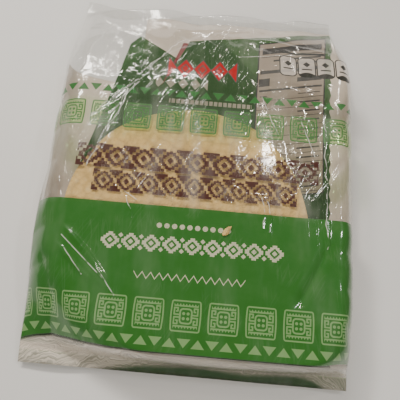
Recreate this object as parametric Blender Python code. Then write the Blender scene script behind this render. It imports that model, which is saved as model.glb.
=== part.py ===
"""A clear bag of corn tortillas lying flat: one closed solid of the bag's outer form.

Metres, +Z up. X runs across the bag and Y along it, from the folded near end to the sealed far end.
The origin is on the bag's centre line, level with the middle of the stack, on the table.
"""

import math

import bmesh
import bpy
import numpy as np

# Contents: a round stack, a little left of the bag's centre line.
STACK_RADIUS = 0.076
STACK_X = -0.00625
RIM_SLOPE = 1.1  # how steeply the film falls away from the stack's rim where no air holds it up

# The bag's outline as it lies.
BAG_LEFT = -0.099
BAG_RIGHT = 0.099
BAG_NEAR = -0.089
BAG_FAR = 0.172
FOOT_NEAR = -0.0790  # where the near wall meets the table, at the bag's corners
FOOT_BULGE = 0.0045  # how much further out it meets the table between them
BULGE_X = 0.015
FOOT_FAR = 0.164  # where the seal starts
LEFT_TAPER = 0.004  # how far each edge turns in at the far end
RIGHT_TAPER = 0.0115
TAPER_START = 0.120

# The film's heights. The air in the bag holds its top level with the stack nearly out to the edges.
TOP_HEIGHT = 0.033
SEAM_HEIGHT = 0.0125  # of the side edges, halfway along the bag
END_HEIGHT = 0.0030  # of the near lip and of the seal
SEAM_RIPPLE = 0.0016
RIPPLE_LENGTH = 0.047
WAVE_HEIGHT = 0.0042  # of the waves along the seal
WAVE_LENGTH = 0.054
SHORT_WAVE_LENGTH = 0.031
FOLD_HEIGHT = 0.0016
FOLD_LENGTH = 0.022
SKIN = 0.0008  # added over and under the two films, so that the solid is never thinner than twice this

# Widths of the shoulders in which the top falls to the bag's edges.
LEFT_SHOULDER = 0.021
LEFT_SHOULDER_SLACK = 0.050  # in the near left corner, which holds no air
RIGHT_SHOULDER = 0.012
RIGHT_SHOULDER_CORNER = 0.024
NEAR_SHOULDER = 0.0065
NEAR_SHOULDER_SLACK = 0.028
NEAR_SHOULDER_CORNER = 0.018
FAR_SHOULDER = 0.072

# Mesh fineness.
COLUMNS = 42
ROWS_WALL = 8
ROWS_REST = 36
ROWS = 2 + ROWS_WALL + ROWS_REST - 1
EDGE_CROWDING = 0.55  # how much the columns crowd towards the side edges, 0 to 1

PRINT_GREEN = (0.075, 0.25, 0.030, 1.0)


def smooth(low, high, value):
    """0 below low, 1 above high and an S curve between them."""
    t = np.clip((value - low) / (high - low), 0.0, 1.0)
    return t * t * (3.0 - 2.0 * t)


def mix(a, b, share):
    return a + (b - a) * share


def shoulder(share, power):
    """A rounded step from 0 to 1: a quarter circle at power 2 and a straight slope at power 1."""
    return (1.0 - (1.0 - np.clip(share, 0.0, 1.0)) ** power) ** (1.0 / power)


def left_edge(y):
    return BAG_LEFT + LEFT_TAPER * smooth(TAPER_START, BAG_FAR, y)


def right_edge(y):
    return BAG_RIGHT - RIGHT_TAPER * smooth(TAPER_START, BAG_FAR, y)


def near_foot(x):
    """Where the near wall meets the table."""
    return FOOT_NEAR - FOOT_BULGE * (1.0 - ((x - BULGE_X) / 0.1) ** 2.0)


def near_shoulder_width(x):
    width = mix(NEAR_SHOULDER_SLACK, NEAR_SHOULDER, smooth(-0.075, -0.020, x))
    return mix(width, NEAR_SHOULDER_CORNER, smooth(0.070, 0.100, x))


def fullness(x, y):
    """How far the two films stand apart: 0 at the bag's edges, 1 where its top is level."""
    slack_along = 1.0 - smooth(-0.075, 0.005, y)
    slack = slack_along * (1.0 - smooth(-0.075, -0.020, x))
    power = 2.0 - 0.85 * slack
    left = shoulder((x - left_edge(y)) / mix(LEFT_SHOULDER, LEFT_SHOULDER_SLACK, slack_along), power)
    right_width = mix(RIGHT_SHOULDER_CORNER, RIGHT_SHOULDER, smooth(-0.085, -0.045, y))
    right = shoulder((right_edge(y) - x) / right_width, 2.0)
    near = shoulder((y - near_foot(x)) / near_shoulder_width(x), power)
    far = np.sin(math.pi / 2.0 * np.clip((FOOT_FAR - y) / FAR_SHOULDER, 0.0, 1.0))
    return left * right * near * far


def edge_height(x, y):
    """Height of the line where the two films meet, carried on over the whole bag."""
    along = smooth(BAG_NEAR, -0.030, y) * (1.0 - smooth(0.090, FOOT_FAR, y))
    height = mix(END_HEIGHT, SEAM_HEIGHT, along)
    height += 0.5 * SEAM_RIPPLE * np.sin(2.0 * math.pi * y / RIPPLE_LENGTH + 3.0 * x)
    height += 0.5 * SEAM_RIPPLE * np.sin(2.0 * math.pi * (x + y) / (1.3 * RIPPLE_LENGTH))
    swing = np.sin(2.0 * math.pi * x / WAVE_LENGTH) + 0.4 * np.sin(2.0 * math.pi * x / SHORT_WAVE_LENGTH + 1.3)
    return height + WAVE_HEIGHT * smooth(0.110, BAG_FAR, y) * 0.36 * swing


def folds(x, y, full):
    """Soft folds down the far slope and the side shoulders, none where the film lies flat."""
    fan = x / (1.0 + 1.2 * (y - 0.076))
    along_slope = np.abs(np.sin(math.pi * fan / FOLD_LENGTH + 2.0 * np.sin(40.0 * x))) * smooth(0.088, 0.125, y)
    across_sides = np.abs(np.sin(math.pi * (y + 0.35 * np.abs(x)) / FOLD_LENGTH)) * smooth(0.070, 0.090, np.abs(x))
    return FOLD_HEIGHT * 4.0 * full * (1.0 - full) * np.maximum(along_slope, across_sides)


def top_and_bottom(x, y):
    """Heights of the solid's upper and lower surface."""
    full = fullness(x, y)
    edge = edge_height(x, y)
    near_wall = shoulder((y - near_foot(x)) / NEAR_SHOULDER, 2.0)
    beyond_rim = np.maximum(np.hypot(x - STACK_X, y) - STACK_RADIUS, 0.0)
    over_stack = (TOP_HEIGHT - RIM_SLOPE * beyond_rim) * near_wall
    front = np.maximum(mix(edge, TOP_HEIGHT, full), over_stack)
    top = front + folds(x, y, full) + SKIN
    bottom = edge * (1.0 - full) ** 2.0 - SKIN
    return top, np.maximum(bottom, 0.0)


def row_places(x):
    """Places of the mesh's rows along Y where they cross x, close together on the steep near wall."""
    foot = near_foot(x)
    plateau = foot + NEAR_SHOULDER
    lip = np.stack([np.full_like(x, BAG_NEAR), foot - 0.0015])
    climb = np.linspace(0.0, 1.0, ROWS_WALL)[:, None] ** 2.0
    share = np.linspace(0.0, 1.0, ROWS_REST)[1:, None]
    return np.concatenate([lip, foot + NEAR_SHOULDER * climb, mix(plateau, BAG_FAR, share)])


def film_material():
    material = bpy.data.materials.new("bag_film")
    material.use_nodes = True
    shader = material.node_tree.nodes["Principled BSDF"]
    shader.inputs["Base Color"].default_value = PRINT_GREEN
    shader.inputs["Roughness"].default_value = 0.25
    shader.inputs["Metallic"].default_value = 0.0
    material.diffuse_color = PRINT_GREEN
    return material


def grid_points(mesh):
    """The mesh's points as x and y in the bag, worked out from their places in the unit grid."""
    across = (np.array([v.co.x for v in mesh.verts]) + 1.0) / 2.0
    along = (np.array([v.co.y for v in mesh.verts]) + 1.0) / 2.0
    across = mix(across, (1.0 - np.cos(math.pi * across)) / 2.0, EDGE_CROWDING)
    row = np.rint(along * (ROWS - 1)).astype(int)
    y = row_places(mix(BAG_LEFT, BAG_RIGHT, across))[row, np.arange(len(row))]
    return mix(left_edge(y), right_edge(y), across), y


def make_bag(collection):
    """A grid thickened into a closed solid: one side takes the upper heights, the other the lower ones."""
    mesh = bmesh.new()
    bmesh.ops.create_grid(mesh, x_segments=COLUMNS - 1, y_segments=ROWS - 1, size=1.0)
    thick = bmesh.ops.extrude_face_region(mesh, geom=mesh.faces[:])
    lower = {part for part in thick["geom"] if isinstance(part, bmesh.types.BMVert)}
    x, y = grid_points(mesh)
    top, bottom = top_and_bottom(x, y)
    for vert, px, py, high, low in zip(mesh.verts, x, y, top, bottom):
        vert.co = (px, py, low if vert in lower else high)
    bmesh.ops.recalc_face_normals(mesh, faces=mesh.faces[:])

    data = bpy.data.meshes.new("bag")
    mesh.to_mesh(data)
    mesh.free()
    data.materials.append(film_material())
    bag = bpy.data.objects.new("bag", data)
    collection.objects.link(bag)
    return bag


def main():
    for leftover in list(bpy.data.objects):
        bpy.data.objects.remove(leftover, do_unlink=True)
    collection = bpy.data.collections.new("bagged_corn_tortilla_stack")
    bpy.context.scene.collection.children.link(collection)
    make_bag(collection)


main()
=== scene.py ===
"""Looks of a clear printed bag of corn tortillas that lies flat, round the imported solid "bag".

Metres, +Z up. X runs across the bag and Y along it, from the folded near end to the sealed far end.
The film is one closed sheet with its print worked out in shaders, and the tortillas in it are separate.
"""

import math

import bmesh
import bpy
import numpy as np
from mathutils import Matrix, Vector


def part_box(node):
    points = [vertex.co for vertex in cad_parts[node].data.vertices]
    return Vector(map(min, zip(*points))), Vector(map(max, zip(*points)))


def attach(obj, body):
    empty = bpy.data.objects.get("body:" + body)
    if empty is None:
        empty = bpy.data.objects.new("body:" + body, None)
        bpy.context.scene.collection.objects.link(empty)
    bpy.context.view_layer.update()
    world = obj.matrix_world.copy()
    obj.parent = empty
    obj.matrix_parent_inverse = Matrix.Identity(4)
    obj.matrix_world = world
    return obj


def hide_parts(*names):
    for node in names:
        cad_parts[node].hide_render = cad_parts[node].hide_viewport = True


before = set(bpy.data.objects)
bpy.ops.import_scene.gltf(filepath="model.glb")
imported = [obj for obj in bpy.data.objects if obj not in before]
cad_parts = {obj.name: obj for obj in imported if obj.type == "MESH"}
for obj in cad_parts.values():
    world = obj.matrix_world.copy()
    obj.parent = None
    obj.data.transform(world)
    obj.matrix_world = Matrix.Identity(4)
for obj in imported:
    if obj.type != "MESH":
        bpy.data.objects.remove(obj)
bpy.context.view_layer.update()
LOW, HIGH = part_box("bag")

# ---------------------------------------------------------------- sizes

# The stack of tortillas.
TORTILLA_COUNT = 18
STACK_RADIUS = 0.076
STACK_X = -0.00625
STACK_BOTTOM = 0.0003
STACK_TOP = 0.0314
TORTILLA_THICKNESS = 0.00163
STACK_CLEARANCE = 0.0011
RIM_SLACK = 0.006
RIM_ROUND = 0.005
RIM_SLOPE = 1.1

# The bag's outline and the film's heights, as in the solid.
BAG_LEFT = LOW[0]
BAG_RIGHT = HIGH[0]
BAG_NEAR = LOW[1]
BAG_FAR = HIGH[1]
FOOT_NEAR = BAG_NEAR + 0.0100
FOOT_BULGE = 0.0045
BULGE_X = 0.015
FOOT_FAR = BAG_FAR - 0.008
LEFT_TAPER = 0.004
RIGHT_TAPER = 0.0115
TAPER_START = 0.120
TOP_HEIGHT = 0.0328
SEAM_HEIGHT = 0.0125
END_HEIGHT = 0.0030
SEAM_RIPPLE = 0.0016
RIPPLE_LENGTH = 0.047
WAVE_HEIGHT = 0.0042
WAVE_LENGTH = 0.054
SHORT_WAVE_LENGTH = 0.031
FOLD_HEIGHT = 0.0016
FOLD_LENGTH = 0.022
LEFT_SHOULDER = 0.021
LEFT_SHOULDER_SLACK = 0.050
RIGHT_SHOULDER = 0.012
RIGHT_SHOULDER_CORNER = 0.024
NEAR_SHOULDER = 0.0065
NEAR_SHOULDER_SLACK = 0.028
NEAR_SHOULDER_CORNER = 0.018
FAR_SHOULDER = 0.072

# The film's mesh.
FILM_THICKNESS = 0.00012
COLUMNS = 176
ROWS_WALL = 26
ROWS_REST = 214
ROWS = 3 + ROWS_WALL + ROWS_REST - 1
EDGE_CROWDING = 0.35

# The print on the front, in metres on the flat film: u to the right and v towards the far end.
ORNAMENT_PITCH = 0.02135
ORNAMENT_HALF = 0.0087
ORNAMENT_MIDDLE = 0.00515
ORNAMENT_AWAY = 0.06135
TRIANGLE_PITCH = 0.0080
TRIANGLE_HALF_BASE = 0.0038
TRIANGLE_HALF_HEIGHT = 0.0025
TRIANGLES_FAR = 0.0848
TRIANGLES_NEAR = -0.0711
GREEN_TOP = 0.0077
GREEN_END = -0.0768

# Colours, linear.
GREEN = (0.013, 0.128, 0.003)
TRIANGLE_GREEN = (0.006, 0.135, 0.006)
OUTLINE_GREEN = (0.018, 0.150, 0.004)
PALE_GREEN = (0.195, 0.350, 0.125)
LIME = (0.260, 0.430, 0.060)
LIME_TINT = (0.660, 0.970, 0.420)
TABLE_GROUND = (0.380, 0.300, 0.235)
SLIVER_RED = (0.220, 0.018, 0.030)
PALE = (0.560, 0.540, 0.380)
BROWN = (0.055, 0.009, 0.003)
RED = (0.420, 0.002, 0.002)
INK_BLACK = (0.003, 0.003, 0.003)
WHITE = (0.730, 0.620, 0.510)
BACK_GREEN = (0.024, 0.100, 0.014)
BACK_GREEN_DEEP = (0.012, 0.058, 0.007)
TABLE_INK = (0.020, 0.022, 0.026)
CREAM = (0.780, 0.530, 0.200)


# ---------------------------------------------------------------- shapes as functions of place

def smooth(low, high, value):
    """0 below low, 1 above high and an S curve between them."""
    t = np.clip((value - low) / (high - low), 0.0, 1.0)
    return t * t * (3.0 - 2.0 * t)


def mix(a, b, share):
    return a + (b - a) * share


def shoulder(share, power):
    """A rounded step from 0 to 1: a quarter circle at power 2 and a straight slope at power 1."""
    return (1.0 - (1.0 - np.clip(share, 0.0, 1.0)) ** power) ** (1.0 / power)


def lattice(i, j, seed):
    """A fixed random number from 0 to 1 for each whole-number place."""
    n = (i * 374761393 + j * 668265263 + seed * 974634777) & 0xFFFFFFFF
    n = ((n ^ (n >> 13)) * 1274126177) & 0xFFFFFFFF
    return ((n ^ (n >> 16)) & 0xFFFF) / 65535.0


def noise(x, y, cell, seed):
    """Smooth random heights from -1 to 1 with hills about one cell wide."""
    fx, fy = x / cell, y / cell
    i, j = np.floor(fx).astype(np.int64), np.floor(fy).astype(np.int64)
    tx, ty = smooth(0.0, 1.0, fx - i), smooth(0.0, 1.0, fy - j)
    near = mix(lattice(i, j, seed), lattice(i + 1, j, seed), tx)
    far = mix(lattice(i, j + 1, seed), lattice(i + 1, j + 1, seed), tx)
    return 2.0 * mix(near, far, ty) - 1.0


def facets(x, y, length, seed, layers=7):
    """Flat facets that meet at sharp creases, as in crumpled film, from -1 to 1.

    Each layer is a zigzag in its own direction that fades in and out over the sheet.
    """
    chance = np.random.default_rng(seed)
    total = np.zeros_like(x)
    for layer in range(layers):
        angle = math.pi * (layer + chance.uniform()) / layers
        wave = length * chance.uniform(0.7, 1.7)
        across = (x * math.cos(angle) + y * math.sin(angle)) / wave + chance.uniform()
        across += 0.45 * noise(x, y, 2.6 * length, seed + layer)
        zigzag = 4.0 * np.abs(across - np.round(across)) - 1.0
        presence = smooth(-0.25, 0.75, noise(x, y, 1.9 * length, seed + 50 + layer))
        total += zigzag * presence
    return total / (0.5 * layers)


def crease(x, y, start, end, height, width, bow=0.0):
    """A sharp ridge along a slightly bowed line that fades out at its ends."""
    start, end = np.array(start), np.array(end)
    length = math.dist(start, end)
    along_x, along_y = (end - start) / length
    along = ((x - start[0]) * along_x + (y - start[1]) * along_y) / length
    aside = (y - start[1]) * along_x - (x - start[0]) * along_y - 4.0 * bow * along * (1.0 - along)
    ends = smooth(0.0, 0.25, along) * (1.0 - smooth(0.75, 1.0, along))
    return height * ends * np.maximum(1.0 - np.abs(aside) / width, 0.0) ** 1.6


def left_edge(y):
    return BAG_LEFT + LEFT_TAPER * smooth(TAPER_START, BAG_FAR, y)


def right_edge(y):
    return BAG_RIGHT - RIGHT_TAPER * smooth(TAPER_START, BAG_FAR, y)


def near_foot(x):
    """Where the near wall meets the table."""
    return FOOT_NEAR - FOOT_BULGE * (1.0 - ((x - BULGE_X) / 0.1) ** 2.0)


def near_shoulder_width(x):
    width = mix(NEAR_SHOULDER_SLACK, NEAR_SHOULDER, smooth(-0.075, -0.020, x))
    return mix(width, NEAR_SHOULDER_CORNER, smooth(0.070, 0.100, x))


def fullness(x, y):
    """How far the two films stand apart: 0 at the bag's edges, 1 where its top is level."""
    slack_along = 1.0 - smooth(-0.075, 0.005, y)
    slack = slack_along * (1.0 - smooth(-0.075, -0.020, x))
    power = 2.0 - 0.85 * slack
    left = shoulder((x - left_edge(y)) / mix(LEFT_SHOULDER, LEFT_SHOULDER_SLACK, slack_along), power)
    right_width = mix(RIGHT_SHOULDER_CORNER, RIGHT_SHOULDER, smooth(-0.085, -0.045, y))
    right = shoulder((right_edge(y) - x) / right_width, 2.0)
    near = shoulder((y - near_foot(x)) / near_shoulder_width(x), power)
    far = np.sin(math.pi / 2.0 * np.clip((FOOT_FAR - y) / FAR_SHOULDER, 0.0, 1.0))
    return left * right * near * far


def edge_height(x, y):
    """Height of the line where the two films meet, carried on over the whole bag."""
    along = smooth(BAG_NEAR, -0.030, y) * (1.0 - smooth(0.090, FOOT_FAR, y))
    height = mix(END_HEIGHT, SEAM_HEIGHT, along)
    height += 0.5 * SEAM_RIPPLE * np.sin(2.0 * math.pi * y / RIPPLE_LENGTH + 3.0 * x)
    height += 0.5 * SEAM_RIPPLE * np.sin(2.0 * math.pi * (x + y) / (1.3 * RIPPLE_LENGTH))
    swing = np.sin(2.0 * math.pi * x / WAVE_LENGTH) + 0.4 * np.sin(2.0 * math.pi * x / SHORT_WAVE_LENGTH + 1.3)
    return height + WAVE_HEIGHT * smooth(0.110, BAG_FAR, y) * 0.36 * swing


def folds(x, y, full):
    """Soft folds down the far slope and the side shoulders, none where the film lies flat."""
    fan = x / (1.0 + 1.2 * (y - 0.076))
    along_slope = np.abs(np.sin(math.pi * fan / FOLD_LENGTH + 2.0 * np.sin(40.0 * x))) * smooth(0.088, 0.125, y)
    across_sides = np.abs(np.sin(math.pi * (y + 0.35 * np.abs(x)) / FOLD_LENGTH)) * smooth(0.070, 0.090, np.abs(x))
    return FOLD_HEIGHT * 4.0 * full * (1.0 - full) * np.maximum(along_slope, across_sides)


def beyond_rim(x, y):
    """Distance outside the stack, with a rounded start where the film leaves the rim."""
    outside = np.hypot(x - STACK_X, y) - STACK_RADIUS - RIM_SLACK
    return 0.5 * (outside + np.hypot(outside, RIM_ROUND))


def film_heights(x, y):
    """Heights of the back and front film without their small creases."""
    full = fullness(x, y)
    edge = edge_height(x, y)
    near_wall = shoulder((y - near_foot(x)) / NEAR_SHOULDER, 2.0)
    over_stack = (TOP_HEIGHT - RIM_SLOPE * beyond_rim(x, y)) * near_wall
    front = np.maximum(mix(edge, TOP_HEIGHT, full), over_stack) + folds(x, y, full)
    back = edge * (1.0 - full) ** 2.0
    return back, front


def named_creases(x, y):
    """The long creases that catch the light, each by its two ends."""
    total = np.zeros_like(x)
    long_ones = (
        ((-0.050, 0.086), (-0.073, 0.018), 0.0016, 0.0034, 0.0015),
        ((-0.010, 0.128), (-0.048, 0.092), 0.0014, 0.0030, -0.0020),
        ((-0.036, 0.102), (-0.076, 0.060), 0.0012, 0.0026, 0.0030),
        ((-0.062, 0.150), (-0.072, 0.098), 0.0012, 0.0028, 0.0010),
        ((-0.040, 0.100), (-0.030, 0.068), 0.0009, 0.0022, 0.0008),
        ((0.046, 0.066), (0.050, 0.030), 0.0007, 0.0022, 0.0020),
        ((0.052, 0.080), (0.060, 0.042), 0.0009, 0.0026, -0.0012),
        ((0.066, 0.082), (0.074, 0.036), 0.0011, 0.0024, 0.0014),
        ((0.079, 0.090), (0.081, -0.020), 0.0010, 0.0026, -0.0010),
        ((0.041, 0.022), (0.042, -0.006), 0.0005, 0.0012, 0.0004),
        ((0.045, 0.018), (0.046, -0.010), 0.0005, 0.0012, -0.0004),
        ((-0.080, -0.008), (-0.044, -0.046), 0.0015, 0.0034, 0.0020),
        ((-0.082, -0.018), (-0.052, -0.044), 0.0011, 0.0024, -0.0012),
        ((-0.070, -0.024), (-0.036, -0.052), 0.0008, 0.0020, -0.0015),
        ((-0.056, 0.022), (-0.028, 0.004), 0.0005, 0.0012, 0.0004),
        ((-0.044, 0.014), (-0.036, -0.008), 0.0004, 0.0010, 0.0),
        ((0.082, -0.004), (0.060, -0.050), -0.0016, 0.0060, 0.0020),
        ((0.020, 0.140), (0.084, 0.128), 0.0013, 0.0030, 0.0020),
        ((-0.030, 0.146), (0.030, 0.152), 0.0013, 0.0032, -0.0020),
    )
    for start, end, height, width, bow in long_ones:
        total += crease(x, y, start, end, height, width, bow)
    return total


def crumple(x, y, full):
    """Small creases of the front film: faint over the stack, strong on the slopes and over the air."""
    over_air = smooth(0.001, 0.010, beyond_rim(x, y))
    slope = 4.0 * full * (1.0 - full)
    far = smooth(0.085, 0.130, y)
    strength = 0.00010 + 0.00028 * over_air + 0.00022 * slope + 0.00010 * far
    strength *= 0.6 + 0.8 * smooth(-0.5, 0.8, noise(x, y, 0.045, 7))
    held = smooth(0.0, 0.12, full)
    fine = facets(x, y, 0.0062, 23)
    coarse = facets(x, y, 0.0190, 11)
    sag = noise(x, y, 0.030, 31) * (0.00018 + 0.00045 * over_air)
    return held * (strength * (1.6 * coarse + 0.35 * fine) + sag + named_creases(x, y))


# ---------------------------------------------------------------- mesh helpers

def new_object(name, mesh_data):
    obj = bpy.data.objects.new(name, mesh_data)
    bpy.context.scene.collection.objects.link(obj)
    return obj


def shade_smooth(data):
    data.polygons.foreach_set("use_smooth", np.ones(len(data.polygons), bool))


# ---------------------------------------------------------------- shader maths

class Value:
    """A number or vector in a shader. Python's operators on it make Math nodes."""

    def __init__(self, tree, socket):
        self.tree = tree
        self.socket = socket

    def node(self, kind, settings=None, inputs=None, output=0):
        return add_node(self.tree, kind, settings, inputs, output)

    def maths(self, operation, *values):
        return self.node("ShaderNodeMath", {"operation": operation}, dict(enumerate(values)))

    def __add__(self, other):
        return self.maths("ADD", self, other)

    def __sub__(self, other):
        return self.maths("SUBTRACT", self, other)

    def __mul__(self, other):
        return self.maths("MULTIPLY", self, other)

    def __truediv__(self, other):
        return self.maths("DIVIDE", self, other)

    def __pow__(self, other):
        return self.maths("POWER", self, other)

    def __radd__(self, other):
        return self.maths("ADD", other, self)

    def __rsub__(self, other):
        return self.maths("SUBTRACT", other, self)

    def __rmul__(self, other):
        return self.maths("MULTIPLY", other, self)

    def __abs__(self):
        return self.maths("ABSOLUTE", self)

    def lowest(self, other):
        return self.maths("MINIMUM", self, other)

    def highest(self, other):
        return self.maths("MAXIMUM", self, other)

    def held(self, low=0.0, high=1.0):
        """This value kept between low and high."""
        return self.node("ShaderNodeClamp", None, {0: self, 1: low, 2: high})

    def between(self, low, high):
        """0 below low, 1 above high, with an S curve between."""
        settings = {"interpolation_type": "SMOOTHSTEP"}
        return self.node("ShaderNodeMapRange", settings, {0: self, 1: low, 2: high})

    def wrapped(self, pitch):
        """The distance to the nearest whole multiple of pitch, with its sign."""
        return self.maths("WRAP", self, 0.5 * pitch, -0.5 * pitch)

    def stepped(self, step):
        return self.maths("SNAP", self, step)


def add_node(tree, kind, settings=None, inputs=None, output=0):
    """Adds a shader node, sets and links what is given, and returns one output as a Value."""
    node = tree.nodes.new(kind)
    for key, value in (settings or {}).items():
        setattr(node, key, value)
    for key, value in (inputs or {}).items():
        if isinstance(value, Value):
            tree.links.new(value.socket, node.inputs[key])
        elif isinstance(value, tuple) and len(value) == 3 and node.inputs[key].type == "RGBA":
            node.inputs[key].default_value = (*value, 1.0)
        else:
            node.inputs[key].default_value = value
    return Value(tree, node.outputs[output])


def blend_colour(a, b, share):
    """Colour a with colour b laid over it by share."""
    tree = share.tree
    node = tree.nodes.new("ShaderNodeMix")
    node.data_type = "RGBA"
    for key, value in ((0, share), (6, a), (7, b)):
        if isinstance(value, Value):
            tree.links.new(value.socket, node.inputs[key])
        else:
            node.inputs[key].default_value = (*value, 1.0)
    return Value(tree, node.outputs[2])


def new_material(name):
    material = bpy.data.materials.new(name)
    material.use_nodes = True
    material.node_tree.nodes.clear()
    return material, material.node_tree


def output_surface(tree, surface):
    tree.links.new(surface.socket, tree.nodes.new("ShaderNodeOutputMaterial").inputs["Surface"])


def noise_texture(tree, where, scale, detail=3.0, roughness=0.5, space="2D"):
    inputs = {"Vector": where, "Scale": scale, "Detail": detail, "Roughness": roughness}
    return add_node(tree, "ShaderNodeTexNoise", {"noise_dimensions": space}, inputs)


# ---------------------------------------------------------------- print

MM = 0.001

# Sharp creases of the front film, each a chain of bends in millimetres on the flat print.
CREASES = (
    ((-12, 146), (-29, 116), (-43, 100)),
    ((-42, 97), (-61, 54), (-70, 29)),
    ((-42, 97), (-72, 65)),
    ((-30, 116), (-60, 66)),
    ((-72, 150), (-84, 96)),
    ((-51, 19), (-36, 10)),
    ((-42, 11), (-38, -1)),
    ((40.8, 17.5), (41.7, -1)),
    ((44.5, 15), (45.3, -3)),
    ((61, 76), (72, 48)),
    ((78, 78), (80, -10)),
    ((36, 88), (48, 62)),
    ((-77, -16), (-50, -39)),
    ((-76, -22), (-62, -38)),
    ((-55, -32), (-42, -48)),
    ((20, 118), (58, 126)),
)
EDGE = 0.00012  # softness of a printed edge


def inside(distance):
    """Ink cover from a distance in metres to a shape's outline: 1 inside it, 0 outside."""
    return (0.5 - distance / EDGE).held()


def box_distance(u, v, centre_u, centre_v, half_u, half_v):
    return (abs(u - centre_u) - half_u).highest(abs(v - centre_v) - half_v)


def ring_distance(distance, half_line):
    return abs(distance) - half_line


def round_box_distance(u, v, half_u, half_v, radius):
    """Distance to a box with round corners, centred on zero."""
    over_u = (abs(u) - (half_u - radius)).highest(0.0)
    over_v = (abs(v) - (half_v - radius)).highest(0.0)
    return (over_u * over_u + over_v * over_v) ** 0.5 - radius


def ornament_distance(u, v):
    """A square with toothed bars, a round-cornered shield with four dots, and four square hooks."""
    bowed = u * (1.0 + 380.0 * v * v * 2.0)
    frame_line = ring_distance(round_box_distance(bowed, v, 8.4 * MM, 8.4 * MM, 0.9 * MM), 0.44 * MM)
    bar = box_distance(u, abs(v), 0.0, 5.65 * MM, 6.9 * MM, 0.42 * MM)
    tooth_width = abs(u.wrapped(1.72 * MM)) * 1.9
    tooth = (tooth_width + (abs(v) - 7.1 * MM)).highest(5.6 * MM - abs(v)).highest(abs(u) - 6.9 * MM)
    shield = ring_distance(round_box_distance(u, v, 3.3 * MM, 4.0 * MM, 1.8 * MM), 0.48 * MM)
    dot_u = abs(u) - 1.25 * MM
    dot_v = abs(v) - 1.40 * MM
    dots = (dot_u * dot_u + dot_v * dot_v) ** 0.5 - 0.88 * MM
    au, av = abs(u), abs(v)
    line = 0.44 * MM
    hook = box_distance(au, av, 5.15 * MM, 0.75 * MM, 1.75 * MM, line)
    hook = hook.lowest(box_distance(au, av, 6.65 * MM, 2.60 * MM, line, 2.15 * MM))
    hook = hook.lowest(box_distance(au, av, 5.65 * MM, 4.40 * MM, 1.30 * MM, line))
    hook = hook.lowest(box_distance(au, av, 4.65 * MM, 3.55 * MM, line, 1.15 * MM))
    hook = hook.lowest(box_distance(au, av, 5.05 * MM, 2.55 * MM, 0.70 * MM, line))
    distance = frame_line.lowest(bar).lowest(tooth)
    return distance.lowest(shield).lowest(dots).lowest(hook)


def triangle_row_distance(u, v):
    """Triangles that point away and back in turn."""
    half_base = TRIANGLE_HALF_BASE
    half_height = TRIANGLE_HALF_HEIGHT
    aside = abs(u.wrapped(2.0 * TRIANGLE_PITCH))
    ratio = half_base / (2.0 * half_height)
    up = (aside + (v + half_height) * ratio - half_base).highest(abs(v) - half_height)
    other = TRIANGLE_PITCH - aside
    down = (other + (half_height - v) * ratio - half_base).highest(abs(v) - half_height)
    return up.lowest(down)


def stepped_lozenge_distance(u, v, half_width, half_height):
    """A lozenge whose sides climb in square steps, as in woven cloth."""
    level = 1.0 - abs(v) / half_height
    steps = (level * 4.0).maths("CEIL", level * 4.0) / 4.0
    return (abs(u) - steps * half_width).highest(abs(v) - half_height)


def woven_row_distance(u, v, centre_v, half_height, pitch, half_length):
    """A woven band: stepped lozenges with a lozenge in each, and the stepped halves between them."""
    local_v = v - centre_v
    outer = stepped_lozenge_distance(u.wrapped(pitch), local_v, 0.5 * pitch, half_height)
    inner = stepped_lozenge_distance(u.wrapped(pitch), local_v, 0.26 * pitch, 0.56 * half_height)
    core = stepped_lozenge_distance(u.wrapped(pitch), local_v, 0.12 * pitch, 0.28 * half_height)
    outer_gap = 1.15 * MM - abs(outer)
    inner_hole = (0.0 - inner).lowest(core)
    row = outer_gap.highest(inner_hole)
    return row.highest(abs(local_v) - half_height).highest(abs(u) - half_length)


def layered(tree, layers, base=(0.5, 0.5, 0.5)):
    """Prints the layers over each other and returns their colour and how much they cover."""
    colour = None
    cover = None
    for share, ink in layers:
        colour = blend_colour(base if colour is None else colour, ink, share)
        cover = share if cover is None else cover + share - cover * share
    return colour, cover


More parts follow.
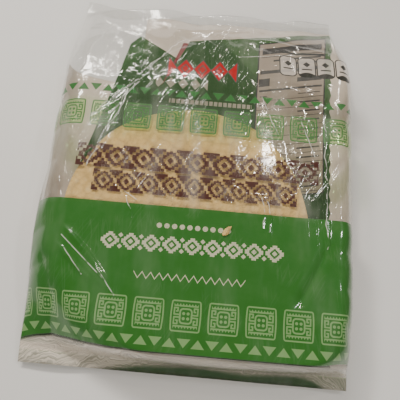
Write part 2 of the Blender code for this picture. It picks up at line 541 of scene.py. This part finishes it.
def front_print(tree, u, v, wear):
    """The front's inks in the order they lie, each as its cover and its colour."""
    across = abs(u)
    ornament_v = abs(v - ORNAMENT_MIDDLE) - ORNAMENT_AWAY
    ornament = inside(ornament_distance(u.wrapped(ORNAMENT_PITCH), ornament_v))
    is_near = 1.0 - v.between(-1.0 * MM, 1.0 * MM)
    green_field = inside((v - GREEN_TOP).highest(GREEN_END - v))

    far_triangles = inside(triangle_row_distance(u, v - TRIANGLES_FAR))
    near_triangles = inside(triangle_row_distance(u + TRIANGLE_PITCH, v - TRIANGLES_NEAR))

    big_rows = inside(woven_row_distance(u + 1.5 * MM, v, 37.2 * MM, 7.7 * MM, 16.8 * MM, 75.6 * MM))
    small_rows = inside(woven_row_distance(u + 2.0 * MM, v, 21.1 * MM, 7.0 * MM, 14.0 * MM, 63.0 * MM))
    brown = (big_rows.highest(small_rows)) * wear

    local_u = u.wrapped(12.2 * MM)
    local_v = v + 15.9 * MM
    lozenge = stepped_lozenge_distance(local_u, local_v, 5.4 * MM, 5.0 * MM)
    hole = stepped_lozenge_distance(local_u, local_v, 2.9 * MM, 2.9 * MM)
    core = stepped_lozenge_distance(local_u, local_v, 1.5 * MM, 1.5 * MM)
    lozenge = lozenge.highest((-1.0 * hole).lowest(core))
    between_u = (u + 6.1 * MM).wrapped(12.2 * MM)
    beside = (abs(between_u) + abs(abs(local_v) - 3.4 * MM) - 1.5 * MM).highest(across - 50.0 * MM)
    lozenge = lozenge.lowest(beside).highest(across - 54.9 * MM)
    dots_u = (u + 2.3 * MM).wrapped(4.6 * MM)
    dots_v = v + 4.6 * MM
    beads = ((dots_u * dots_u + dots_v * dots_v) ** 0.5 - 1.6 * MM).highest(across - 23.0 * MM)
    zigzag = abs(v + 35.0 * MM - (abs(u.wrapped(5.0 * MM)) - 1.25 * MM) * 1.5) - 0.45 * MM
    zigzag = zigzag.highest(across - 32.5 * MM)
    pale = inside(lozenge.lowest(beads).lowest(zigzag)) * (wear * 1.5 - 0.5).held()

    badge_u = u + 4.0 * MM
    badge_v = v - 104.5 * MM
    petal = abs(abs(badge_u.wrapped(11.4 * MM)) * 1.0) * 1.2 + abs(badge_v) * 0.86 - 6.6 * MM
    petal = petal.highest(abs(badge_u) - 22.8 * MM)
    core = 0.55 * MM - abs(petal + 3.4 * MM)
    badge = inside(petal.highest(core))
    badge_line = inside(petal - 0.8 * MM)

    window_u = (u - 53.4 * MM).wrapped(12.6 * MM)
    window_v = v - 115.0 * MM
    in_row = box_distance(u, v, 72.3 * MM, 115.0 * MM, 25.2 * MM, 10.0 * MM)
    window = round_box_distance(window_u, window_v, 5.7 * MM, 9.0 * MM, 3.4 * MM)
    window_fill = inside(window.highest(in_row))
    window_line = inside(ring_distance(window, 0.42 * MM).highest(in_row))
    lens = window.highest(v - 109.8 * MM + window_u * window_u * 60.0).highest(in_row).highest(59.7 * MM - u)
    seed = abs(window_u) + abs(window_v - 2.4 * MM) - 2.6 * MM
    foot_bar = box_distance(window_u, window_v, 0.0, -2.4 * MM, 3.4 * MM, 0.55 * MM)
    window_bars = inside(seed.lowest(foot_bar).highest(in_row))
    title = inside(box_distance(u, v, 64.0 * MM, 128.5 * MM, 15.0 * MM, 1.2 * MM))

    return (
        (green_field * 0.985, GREEN),
        (far_triangles * 0.96, TRIANGLE_GREEN),
        (lime_tint(u, v) * 0.15, LIME),
        (ornament * (1.0 - is_near) * 0.94, OUTLINE_GREEN),
        (ornament * is_near * 0.92, PALE_GREEN),
        (near_triangles * 0.90, PALE_GREEN),
        (pale * 0.96, PALE),
        (brown * 0.99, BROWN),
        (badge_line * 0.85, INK_BLACK),
        (badge * 0.98, RED),
        (window_fill * 0.62, WHITE),
        ((window_line.highest(window_bars)).highest(inside(lens)).highest(title) * 0.97, INK_BLACK),
    )


def lime_tint(u, v):
    """Share of a thin lime ink that colours what is under it: the far ornaments' ground and a faded cast."""
    local_u = u.wrapped(ORNAMENT_PITCH)
    local_v = v - ORNAMENT_MIDDLE - ORNAMENT_AWAY
    ground = inside(round_box_distance(local_u, local_v, 8.6 * MM, 8.6 * MM, 0.9 * MM))
    cast = v.between(44.0 * MM, 70.0 * MM) * (1.0 - v.between(74.0 * MM, 80.0 * MM)) * 0.35
    return ground.highest(cast)


def left_of(x, y, start, end):
    """Distance to what lies left of the line from start to end, whose ends are in millimetres."""
    run_x, run_y = end[0] - start[0], end[1] - start[1]
    length = math.hypot(run_x, run_y)
    return (x - start[0] * MM) * (run_y / length) - (y - start[1] * MM) * (run_x / length)


def right_of(x, y, start, end):
    return -1.0 * left_of(x, y, start, end)


def back_print(tree, x, y):
    """The back's inks, seen through the bag: white ground, a green field with a notch, a table of lines, and a painted
    highlight along its near fold.
    """
    beside = right_of(x, y, (-72.0, 90.0), (-60.0, 141.0))
    peak = right_of(x, y, (-60.0, 141.0), (-54.0, 147.0)).highest(y - 147.2 * MM - (x + 55.0 * MM) * 0.16)
    notch = right_of(x, y, (-52.0, 147.5), (-23.4, 131.5)).lowest(right_of(x, y, (-23.4, 131.5), (-15.6, 148.5)))
    top = right_of(x, y, (-15.0, 147.3), (90.0, 162.5)).lowest(x + 30.0 * MM)
    ripple = abs(y.wrapped(9.0 * MM)) * 0.28
    field = beside.highest(peak).highest(notch).highest(top)
    field = field.highest(x - 89.0 * MM - ripple).highest(-77.0 * MM - y)
    lip = box_distance(x, y, 0.0, -85.4 * MM, 110.0 * MM, 3.6 * MM)
    # A painted highlight: a thin pale green line where the back film folds round at the near end.
    painted_lip_highlight = box_distance(x, y, 0.0, -81.8 * MM, 110.0 * MM, 0.35 * MM)
    green = inside(field.lowest(lip))
    sliver = left_of(x, y, (-23.4, 131.5), (-15.6, 148.5))
    sliver = sliver.highest(right_of(x, y, (-26.6, 129.5), (-20.8, 146.0))).highest(y - 145.5 * MM)

    below_clear = y - (111.0 * MM - (x + 85.0 * MM) * 0.154)
    ground = below_clear.lowest(beside.highest(-50.0 * MM - x))
    ground = ground.highest((-77.0 * MM - y).lowest(x + 38.0 * MM)).highest(y - 163.0 * MM)
    white = inside(ground)

    fold_left = left_of(x, y, (-66.0, 118.0), (-46.0, 138.6))
    fold_right = left_of(x, y, (8.0, 147.6), (37.0, 120.0))
    fold_lines = inside((abs(fold_left) - 0.8 * MM).lowest(abs(fold_right) - 0.6 * MM))
    doubled = fold_left.between(0.0, 0.004) * fold_right.between(-0.002, 0.002)
    shade = (doubled * 0.70 + fold_lines * 0.30).held()

    row = y - (x - 35.0 * MM) * 0.20
    table = box_distance(x, row, 60.5 * MM, 88.0 * MM, 24.5 * MM, 61.0 * MM)
    border = ring_distance(table, 0.5 * MM)
    rules = abs(row.wrapped(7.3 * MM)) - 0.22 * MM
    rules = rules.highest(row - 108.0 * MM)
    text_left = abs((row + 3.6 * MM).wrapped(7.3 * MM)) - 0.60 * MM
    text_left = text_left.highest(abs(x - 41.0 * MM) - 2.6 * MM).highest(row - 106.0 * MM)
    text_right = abs((row + 3.6 * MM).wrapped(7.3 * MM)) - 0.60 * MM
    text_right = text_right.highest(abs(x - 74.0 * MM) - 8.0 * MM).highest(row - 106.0 * MM)
    head = box_distance(x, row, 60.5 * MM, 142.6 * MM, 22.0 * MM, 2.4 * MM)
    head = head.lowest(box_distance(x, row, 60.5 * MM, 138.0 * MM, 22.8 * MM, 0.25 * MM))
    head = head.lowest(box_distance(x, row, 64.5 * MM, 134.4 * MM, 17.5 * MM, 0.7 * MM))
    head = head.lowest(box_distance(x, row, 68.5 * MM, 130.4 * MM, 13.5 * MM, 0.7 * MM))
    head = head.lowest(box_distance(x, row, 60.5 * MM, 125.4 * MM, 22.8 * MM, 1.4 * MM))
    head = head.lowest(box_distance(x, row, 41.0 * MM, 117.0 * MM, 4.0 * MM, 3.2 * MM))
    head = head.lowest(box_distance(x, row, 74.0 * MM, 117.0 * MM, 9.0 * MM, 1.8 * MM))
    head = head.lowest(box_distance(x, row, 60.5 * MM, 110.4 * MM, 22.8 * MM, 0.8 * MM))
    lines = rules.lowest(text_left).lowest(text_right).lowest(head).highest(table).lowest(border)

    pale_blocks = abs(x.wrapped(9.0 * MM)) + abs(y - 112.0 * MM) * 0.85 - 3.6 * MM
    pale_blocks = pale_blocks.highest(abs(x + 19.0 * MM) - 19.0 * MM)
    pale_line = box_distance(x.wrapped(3.4 * MM), y, 0.0, 97.5 * MM, 1.3 * MM, 1.7 * MM)
    pale_line = pale_line.highest(abs(x - 3.0 * MM) - 30.0 * MM)

    return (
        (white * 0.93, WHITE),
        (green * 0.97, BACK_GREEN),
        (green * shade, BACK_GREEN_DEEP),
        # The painted highlight of the near fold.
        (inside(painted_lip_highlight) * 0.8, PALE_GREEN),
        (inside(sliver) * 0.9, SLIVER_RED),
        (inside(pale_blocks.lowest(pale_line)) * 0.50, WHITE),
        (inside(table) * 0.97, TABLE_GROUND),
        (inside(lines) * 0.93, TABLE_INK),
    )


# ---------------------------------------------------------------- materials

def split_place(tree, place):
    """A vector's first two parts."""
    split = tree.nodes.new("ShaderNodeSeparateXYZ")
    tree.links.new(place.socket, split.inputs[0])
    return Value(tree, split.outputs[0]), Value(tree, split.outputs[1])


def mix_shaders(tree, first, second, share):
    return add_node(tree, "ShaderNodeMixShader", None, {0: share, 1: first, 2: second})


def line_distance(tree, place, start, end):
    """Distance to the line between two points given in millimetres, squared off at its ends."""
    middle = (0.5 * (start[0] + end[0]) * MM, 0.5 * (start[1] + end[1]) * MM, 0.0)
    angle = math.atan2(end[1] - start[1], end[0] - start[0])
    inputs = {"Vector": place, "Location": middle, "Rotation": (0.0, 0.0, angle)}
    local = add_node(tree, "ShaderNodeMapping", {"vector_type": "TEXTURE"}, inputs)
    along, aside = split_place(tree, local)
    return abs(aside).highest(abs(along) - 0.5 * math.dist(start, end) * MM)


def crease_distance(tree, place):
    """Distance to the nearest of the sharp creases in the front film."""
    wander = noise_texture(tree, place, 90.0, 1.0, 0.5) - 0.5
    shift = add_node(tree, "ShaderNodeCombineXYZ", None, {0: wander * 5.0 * MM, 1: wander * -4.0 * MM})
    bent = add_node(tree, "ShaderNodeVectorMath", {"operation": "ADD"}, {0: place, 1: shift})
    nearest = None
    for bends in CREASES:
        for start, end in zip(bends, bends[1:]):
            distance = line_distance(tree, bent, start, end)
            nearest = distance if nearest is None else nearest.lowest(distance)
    return nearest


def streak_lines(tree, place, degrees):
    """Long thin raised lines in one direction, here and there over the film, from 0 to 1."""
    settings = {"vector_type": "TEXTURE"}
    inputs = {"Vector": place, "Rotation": (0.0, 0.0, math.radians(degrees)), "Scale": (1 / 16.0, 1 / 210.0, 1.0)}
    along = add_node(tree, "ShaderNodeMapping", settings, inputs)
    wander = noise_texture(tree, along, 1.0, 2.0, 0.5)
    here = noise_texture(tree, place, 38.0 + 0.1 * degrees, 1.0, 0.5).between(0.50, 0.62)
    return (1.0 - (abs(wander - 0.5) * 30.0).lowest(1.0)) * here


def film_material(name, printed):
    """Clear glossy film with ink on it. It mirrors more at a glancing angle, and scratches make it hazy. Creases
    whiten it, partly as real stress-whitening and partly as a painted glint, and a painted sheen lies over it,
    strongest over the stack.
    """
    material, tree = new_material(name)
    place = add_node(tree, "ShaderNodeUVMap", {"uv_map": "print"})
    u, v = split_place(tree, place)

    scratch = noise_texture(tree, place, 900.0, 2.0, 0.6)
    blotch = noise_texture(tree, place, 90.0, 3.0, 0.55)
    speckle = noise_texture(tree, place, 1700.0, 1.0, 0.5).between(0.60, 0.68) * blotch.between(0.36, 0.60)
    wear = 1.0 - speckle * 0.42 - scratch.between(0.64, 0.70) * blotch.between(0.52, 0.66) * 0.35
    layers = front_print(tree, u, v, wear) if printed == "front" else back_print(tree, u, v)
    colour, cover = layered(tree, layers)
    uneven = blend_colour(colour, (0.45, 0.60, 0.30), blotch.between(0.30, 0.95) * 0.03)

    cells = add_node(
        tree, "ShaderNodeTexVoronoi", {"feature": "DISTANCE_TO_EDGE", "voronoi_dimensions": "2D"},
        {"Vector": place, "Scale": 62.0, "Randomness": 1.0},
    )
    crinkle = noise_texture(tree, place, 160.0, 4.0, 0.6)
    swirl = noise_texture(tree, place, 42.0, 3.0, 0.6)
    sharp_lines = 1.0 - (abs(swirl - 0.5) * 26.0).lowest(1.0)
    long_lines = streak_lines(tree, place, 62.0) + streak_lines(tree, place, 97.0)
    gathers = {0: u * 22.0, 1: v * 900.0 + (swirl - 0.5) * 15.0 + (blotch - 0.5) * 4.0}
    stretched = add_node(tree, "ShaderNodeCombineXYZ", None, gathers)
    streaks = noise_texture(tree, stretched, 1.0, 4.0, 0.65)
    if printed == "front":
        creases = crease_distance(tree, place)
    else:
        creases = v * 0.0 + 1.0
    ridge = (1.0 - creases / (0.9 * MM)).held()
    # Creases whiten the film, partly as real stress-whitening and partly as a painted glint along them.
    whitening_and_painted_sheen = (1.0 - creases / (0.42 * MM)).held() * blotch.between(0.38, 0.55) * 0.75
    on_band = (1.0 - v.between(GREEN_END - 0.003, GREEN_END - 0.0005)) * v.between(-0.110, -0.106)
    over_window = v.between(GREEN_TOP - 0.004, GREEN_TOP + 0.004)
    calm = 0.38 + 0.62 * over_window
    # A painted sheen: soft pale streaks, strongest over the stack, stand in for light on soft folds of the film. The
    # long lines add hazy scratches and painted glints.
    sheen_place = add_node(tree, "ShaderNodeMapping", None, {"Vector": place, "Scale": (52.0, 13.0, 1.0)})
    sheen = noise_texture(tree, sheen_place, 1.0, 3.0, 0.55).between(0.47, 0.76)
    over_stack = over_window * (1.0 - v.between(0.058, 0.084) * 0.85)
    whitening_and_painted_sheen = whitening_and_painted_sheen + sheen * (0.035 + 0.125 * over_stack) + long_lines * (0.020 + 0.030 * over_stack)
    relief = (cells.lowest(0.08) * 0.20 + sharp_lines * 0.16 + long_lines * 0.24) * calm + crinkle * 0.07 + ridge * 0.9
    relief = relief * (1.0 - 0.8 * on_band) + streaks * on_band * 0.5
    bump = add_node(
        tree, "ShaderNodeBump", None, {"Strength": 0.5, "Distance": 0.0005, "Height": relief}
    )
    facing = add_node(tree, "ShaderNodeLayerWeight", None, {"Blend": 0.5, "Normal": bump}, output=1)
    mirror_share = 0.050 + 0.8 * facing ** 3.5

    shine = add_node(
        tree, "ShaderNodeBsdfAnisotropic", None,
        {"Color": (1.0, 1.0, 1.0), "Roughness": 0.09, "Normal": bump},
    )
    through = add_node(tree, "ShaderNodeBsdfTransparent", None, {"Color": (0.975, 0.975, 0.97)})
    if printed == "front":
        tinted = add_node(tree, "ShaderNodeBsdfTransparent", None, {"Color": LIME_TINT})
        through = mix_shaders(tree, through, tinted, lime_tint(u, v))
    # A milky diffuse layer: the film's own faint clouding, and also the colour of the painted sheen and glints laid
    # over it.
    haze_and_painted_sheen = add_node(tree, "ShaderNodeBsdfDiffuse", None, {"Color": (0.82, 0.80, 0.74), "Normal": bump})
    hazed = 0.006 + blotch.between(0.45, 0.8) * 0.014
    veil = add_node(tree, "ShaderNodeBsdfDiffuse", None, {"Color": (0.86, 0.78, 0.66), "Normal": bump})
    through = mix_shaders(tree, through, haze_and_painted_sheen, hazed)
    bunched = on_band * (1.0 - u.between(-0.060, 0.0) * 0.45)
    through = mix_shaders(tree, through, veil, bunched * (0.34 + streaks.between(0.34, 0.72) * 0.56))
    clear = mix_shaders(tree, through, shine, mirror_share)
    ink = add_node(
        tree, "ShaderNodeBsdfPrincipled", None,
        {"Base Color": uneven, "Roughness": 0.34, "Specular IOR Level": 0.14 if printed == "front" else 0.0, "Normal": bump},
    )
    ink = mix_shaders(tree, ink, shine, mirror_share)
    film = mix_shaders(tree, clear, ink, cover)
    # Lays the crease whitening, the painted sheen and the painted glints over the film.
    output_surface(tree, mix_shaders(tree, film, haze_and_painted_sheen, whitening_and_painted_sheen))
    return material


def tortilla_material():
    """Soft corn dough: cream, with paler blisters, faint toast marks, a mealy surface and painted shade round its
    small pits.
    """
    material, tree = new_material("corn_dough")
    place = add_node(tree, "ShaderNodeTexCoord", None, None, output=3)
    broad = noise_texture(tree, place, 45.0, 3.0, 0.55, "3D")
    blisters = noise_texture(tree, place, 190.0, 4.0, 0.6, "3D")
    grain = noise_texture(tree, place, 1400.0, 3.0, 0.7, "3D")
    toast = noise_texture(tree, place, 75.0, 5.0, 0.65, "3D")
    colour = blend_colour(CREAM, (0.56, 0.36, 0.12), broad.between(0.40, 0.72) * 0.45)
    colour = blend_colour(colour, (0.84, 0.64, 0.32), blisters.between(0.50, 0.68) * 0.55)
    colour = blend_colour(colour, (0.42, 0.21, 0.06), toast.between(0.62, 0.74) * 0.40)
    dimples_and_painted_shade = add_node(
        tree, "ShaderNodeTexVoronoi", {"feature": "F1"}, {"Vector": place, "Scale": 210.0, "Randomness": 1.0},
    )
    # Painted shade: the dough is darker away from the middle of each small pit, standing in for the pits' soft
    # shadows.
    colour = blend_colour(colour, (0.50, 0.33, 0.12), dimples_and_painted_shade.between(0.35, 0.85) * 0.55)
    colour = blend_colour(colour, (0.60, 0.42, 0.19), grain.between(0.56, 0.72) * 0.35)
    relief = blisters * 1.1 + grain * 0.18 + broad * 0.9 + dimples_and_painted_shade * 0.9
    bump = add_node(tree, "ShaderNodeBump", None, {"Strength": 0.9, "Distance": 0.0016, "Height": relief})
    dough = add_node(
        tree, "ShaderNodeBsdfPrincipled", None,
        {"Base Color": colour, "Roughness": 0.82, "Normal": bump, "Specular IOR Level": 0.25},
    )
    output_surface(tree, dough)
    return material


def floor_material():
    material, tree = new_material("pale_floor")
    place = add_node(tree, "ShaderNodeTexCoord", None, None, output=3)
    cloud = noise_texture(tree, place, 6.0, 2.0, 0.5)
    colour = blend_colour((0.74, 0.73, 0.71), (0.80, 0.79, 0.77), cloud)
    output_surface(tree, add_node(tree, "ShaderNodeBsdfPrincipled", None, {"Base Color": colour, "Roughness": 0.6}))
    return material


# ---------------------------------------------------------------- pieces

def film_rows(x):
    """Places of the film's rows along Y where they cross x, close together on the steep near wall."""
    foot = near_foot(x)
    lip = np.stack([np.full_like(x, BAG_NEAR), mix(BAG_NEAR, foot, 0.4), mix(BAG_NEAR, foot, 0.8)])
    climb = np.linspace(0.0, 1.0, ROWS_WALL)[:, None] ** 2.0
    share = np.linspace(0.0, 1.0, ROWS_REST)[1:, None]
    plateau = foot + 1.5 * NEAR_SHOULDER
    return np.concatenate([lip, foot + 1.5 * NEAR_SHOULDER * climb, mix(plateau, BAG_FAR, share)])


def run_of(x, z, axis, start):
    """Length along the surface from where it crosses zero, by rows or columns of a grid."""
    step = np.hypot(np.diff(x, axis=axis), np.diff(z, axis=axis))
    shape = list(x.shape)
    shape[axis] = 1
    total = np.concatenate([np.zeros(shape), np.cumsum(step, axis=axis)], axis=axis)
    return total - np.take(total, [start], axis=axis) + np.take(x, [start], axis=axis)


def make_film():
    """The whole bag as one closed sheet: a grid for the front, another for the back, joined at their edges."""
    mesh = bmesh.new()
    bmesh.ops.create_grid(mesh, x_segments=COLUMNS - 1, y_segments=ROWS - 1, size=1.0)
    front_count = len(mesh.verts)
    bmesh.ops.extrude_face_region(mesh, geom=mesh.faces[:])
    mesh.verts.index_update()
    unit = np.array([v.co[:2] for v in mesh.verts])
    data = bpy.data.meshes.new("bag_film")
    mesh.to_mesh(data)
    mesh.free()

    column = np.rint((unit[:, 0] + 1.0) / 2.0 * (COLUMNS - 1)).astype(int)
    row = np.rint((unit[:, 1] + 1.0) / 2.0 * (ROWS - 1)).astype(int)
    across = np.linspace(0.0, 1.0, COLUMNS)
    across = mix(across, (1.0 - np.cos(math.pi * across)) / 2.0, EDGE_CROWDING)
    y = film_rows(mix(BAG_LEFT, BAG_RIGHT, across))
    x = mix(left_edge(y), right_edge(y), across)
    back, front = film_heights(x, y)
    full = fullness(x, y)
    u = run_of(x, front, 1, int(np.argmin(np.abs(x[ROWS // 2]))))
    v = run_of(y, front, 0, int(np.argmin(np.abs(y[:, COLUMNS // 2]))))

    front = front + crumple(x, y, full)
    near_wall = shoulder((y - near_foot(x)) / NEAR_SHOULDER, 2.0)
    front = np.maximum(front, (STACK_TOP + STACK_CLEARANCE - RIM_SLOPE * beyond_rim(x, y)) * near_wall)
    back = np.maximum(back, 0.0) + smooth(0.0, 0.2, 1.0 - full) * smooth(0.0, 0.2, full) * 0.0005 * (1.0 + facets(x, y, 0.016, 5))
    front = np.maximum(front, back) + FILM_THICKNESS / 2.0
    back = np.maximum(back - FILM_THICKNESS / 2.0, 0.0)

    is_front = np.arange(len(unit)) >= front_count
    points = np.stack([x[row, column], y[row, column], np.where(is_front, front[row, column], back[row, column])], 1)
    data.vertices.foreach_set("co", points.astype(np.float32).ravel())
    places = np.where(is_front[:, None], np.stack([u[row, column], v[row, column]], 1), points[:, :2])
    corner = np.empty(len(data.loops), np.int32)
    data.loops.foreach_get("vertex_index", corner)
    layer = data.uv_layers.new(name="print")
    layer.uv.foreach_set("vector", places[corner].astype(np.float32).ravel())

    first = np.empty(len(data.polygons), np.int32)
    data.polygons.foreach_get("loop_start", first)
    corners = corner[first[:, None] + np.arange(4)]
    data.materials.append(film_material("film_front", "front"))
    data.materials.append(film_material("film_back", "back"))
    data.polygons.foreach_set("material_index", (~is_front[corners].any(axis=1)).astype(np.int32))
    shade_smooth(data)
    data.update()
    film = new_object("bag_film", data)
    tidy = bmesh.new()
    tidy.from_mesh(data)
    bmesh.ops.recalc_face_normals(tidy, faces=tidy.faces[:])
    tidy.to_mesh(data)
    tidy.free()
    return film


def make_tortilla(index, material):
    """A round of dough with an uneven rim. The top one has finer blisters, because it shows."""
    chance = np.random.default_rng(100 + index)
    is_top = index == TORTILLA_COUNT - 1
    rings = 44 if is_top else 9
    segments = 160
    pitch = (STACK_TOP - STACK_BOTTOM) / TORTILLA_COUNT
    height = index / (TORTILLA_COUNT - 1)
    wander = 0.0014 * (1.0 - height) + 0.0003
    centre_x = STACK_X + chance.uniform(-wander, wander)
    centre_y = chance.uniform(-wander, wander)
    middle = STACK_BOTTOM + pitch * (index + 0.5)

    angle = np.linspace(0.0, 2.0 * math.pi, segments, endpoint=False)
    rim = STACK_RADIUS - 0.0012 + chance.uniform(-0.0006, 0.0006)
    rim = rim + 0.0006 * np.sin(2.0 * angle + chance.uniform(0.0, 6.0))
    rim += 0.0004 * np.sin(5.0 * angle + chance.uniform(0.0, 6.0)) + 0.0003 * np.sin(11.0 * angle + chance.uniform(0.0, 6.0))
    bend = np.linspace(0.0, math.pi, 9)[1:-1]
    flat = np.sqrt(np.linspace(0.0, 1.0, rings + 1)[1:]) if is_top else np.linspace(0.0, 1.0, rings + 1)[1:]
    edge = TORTILLA_THICKNESS / 2.0
    radius = np.concatenate([flat, np.ones(len(bend)), flat[::-1]])
    lift = np.concatenate([np.full(rings, 1.0), np.cos(bend), np.full(rings, -1.0)])
    out = np.concatenate([np.zeros(rings), np.sin(bend), np.zeros(rings)])

    reach = radius[:, None] * (rim[None] - edge) + out[:, None] * edge
    x = centre_x + reach * np.cos(angle)
    y = centre_y + reach * np.sin(angle)
    share = reach / rim
    warp = height * (0.00035 * noise(x, y, 0.040, 3) + 0.00015 * noise(x, y, 0.014, 4))
    droop = -0.0007 * height * smooth(0.86, 1.0, share)
    thickness = edge * (1.0 - 0.22 * smooth(0.80, 1.0, share))
    z = middle + lift[:, None] * thickness + warp + droop
    if is_top:
        bubbled = 0.00018 * smooth(0.1, 0.8, noise(x, y, 0.0060, 9)) + 0.00008 * noise(x, y, 0.0028, 10)
        z += np.where(lift[:, None] > 0.0, bubbled, 0.0)

    mesh = bmesh.new()
    rounds = [[mesh.verts.new(p) for p in zip(x[k], y[k], z[k])] for k in range(len(radius))]
    top = mesh.verts.new((centre_x, centre_y, z[0].mean()))
    bottom = mesh.verts.new((centre_x, centre_y, z[-1].mean()))
    for k in range(segments):
        after = (k + 1) % segments
        mesh.faces.new((top, rounds[0][k], rounds[0][after]))
        mesh.faces.new((bottom, rounds[-1][after], rounds[-1][k]))
        for upper, lower in zip(rounds, rounds[1:]):
            mesh.faces.new((upper[k], lower[k], lower[after], upper[after]))
    bmesh.ops.recalc_face_normals(mesh, faces=mesh.faces[:])
    data = bpy.data.meshes.new(f"tortilla_{index + 1:02d}")
    mesh.to_mesh(data)
    mesh.free()
    shade_smooth(data)
    data.materials.append(material)
    return new_object(data.name, data)


def make_crumb(film, material):
    """A crumb of tortilla that lies on the film: a lump drawn out to one side."""
    mesh = bmesh.new()
    bmesh.ops.create_icosphere(mesh, subdivisions=4, radius=1.0)
    for vert in mesh.verts:
        x, y, z = vert.co
        lump = float(noise(np.array(2.1 * x + 5.0), np.array(2.1 * y + z), 0.8, 17))
        tail = 1.0 + 0.55 * max(x, 0.0)
        narrow = 1.0 - 0.45 * max(x, 0.0)
        scale = 1.0 + 0.16 * lump
        vert.co = (0.0030 * x * tail * scale, 0.0018 * y * narrow * scale, 0.0009 * z * scale)
    turn = Matrix.Rotation(math.radians(55.0), 4, "Z")
    spot = Vector((0.0195, -0.0050, 0.0))
    hit, point, _, _ = film.ray_cast(spot + Vector((0.0, 0.0, 0.1)), Vector((0.0, 0.0, -1.0)))
    spot.z = point.z + 0.0007
    mesh.transform(Matrix.Translation(spot) @ turn)
    data = bpy.data.meshes.new("crumb")
    mesh.to_mesh(data)
    mesh.free()
    shade_smooth(data)
    data.materials.append(material)
    return new_object("crumb", data)


# ---------------------------------------------------------------- stage

def make_floor():
    bpy.ops.mesh.primitive_plane_add(size=6.0, location=(0.0, 0.0, -0.0003))
    floor = bpy.context.object
    floor.name = "floor"
    floor.data.materials.append(floor_material())


def make_light(name, place, target, size, power, colour=(1.0, 1.0, 1.0)):
    light = bpy.data.lights.new(name, "AREA")
    light.shape = "RECTANGLE"
    light.size, light.size_y = size
    light.energy = power
    light.color = colour
    lamp = new_object(name, light)
    lamp.location = place
    lamp.rotation_euler = (Vector(target) - Vector(place)).to_track_quat("-Z", "Y").to_euler()
    return lamp


def make_world():
    world = bpy.data.worlds.new("soft_room")
    world.use_nodes = True
    background = world.node_tree.nodes["Background"]
    background.inputs["Color"].default_value = (1.0, 0.96, 0.90, 1.0)
    background.inputs["Strength"].default_value = 0.24
    bpy.context.scene.world = world


def make_camera():
    """Looks down on the bag from its near end, a hand's breadth above and a little turned."""
    tilt, turn, roll = (math.radians(a) for a in (18.0, 1.76, -3.31))
    distance = 0.3037
    aim = Vector((0.00215, 0.0133, 0.033))
    facing = Matrix.Rotation(turn, 4, "Z") @ Matrix.Rotation(tilt, 4, "X") @ Matrix.Rotation(-roll, 4, "Z")
    camera_data = bpy.data.cameras.new("camera")
    camera_data.lens = 45.0
    camera_data.sensor_width = 36.0
    camera_data.clip_start = 0.01
    camera = new_object("camera", camera_data)
    camera.matrix_world = Matrix.Translation(aim) @ facing @ Matrix.Translation((0.0, 0.0, distance))
    bpy.context.scene.camera = camera


def main():
    film = make_film()
    dough = tortilla_material()
    pieces = [make_tortilla(index, dough) for index in range(TORTILLA_COUNT)]
    for piece in pieces:
        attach(piece, "root")
        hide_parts("bag")
    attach(film, "root")
    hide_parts("bag")
    bpy.context.view_layer.update()
    crumb = make_crumb(film, dough)
    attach(crumb, "root")

    make_floor()
    make_world()
    middle = (0.0, 0.03, 0.0)
    make_light("window", (-0.55, 0.75, 0.80), middle, (0.30, 0.16), 8.6, (1.0, 0.95, 0.87))
    make_light("lamp", (0.16, 0.41, 0.83), middle, (0.04, 0.04), 0.6, (1.0, 0.90, 0.78))
    make_light("strip", (-0.20, 0.62, 0.70), middle, (0.30, 0.02), 2.2, (1.0, 0.94, 0.86))
    make_light("spark", (0.45, 0.20, 0.70), middle, (0.06, 0.06), 0.9)
    fill = make_light("fill", (0.05, -0.80, 0.70), middle, (0.50, 0.50), 5.2, (1.0, 0.94, 0.86))
    fill.visible_glossy = False
    make_camera()
    bpy.context.scene.cycles.transparent_max_bounces = 24


main()
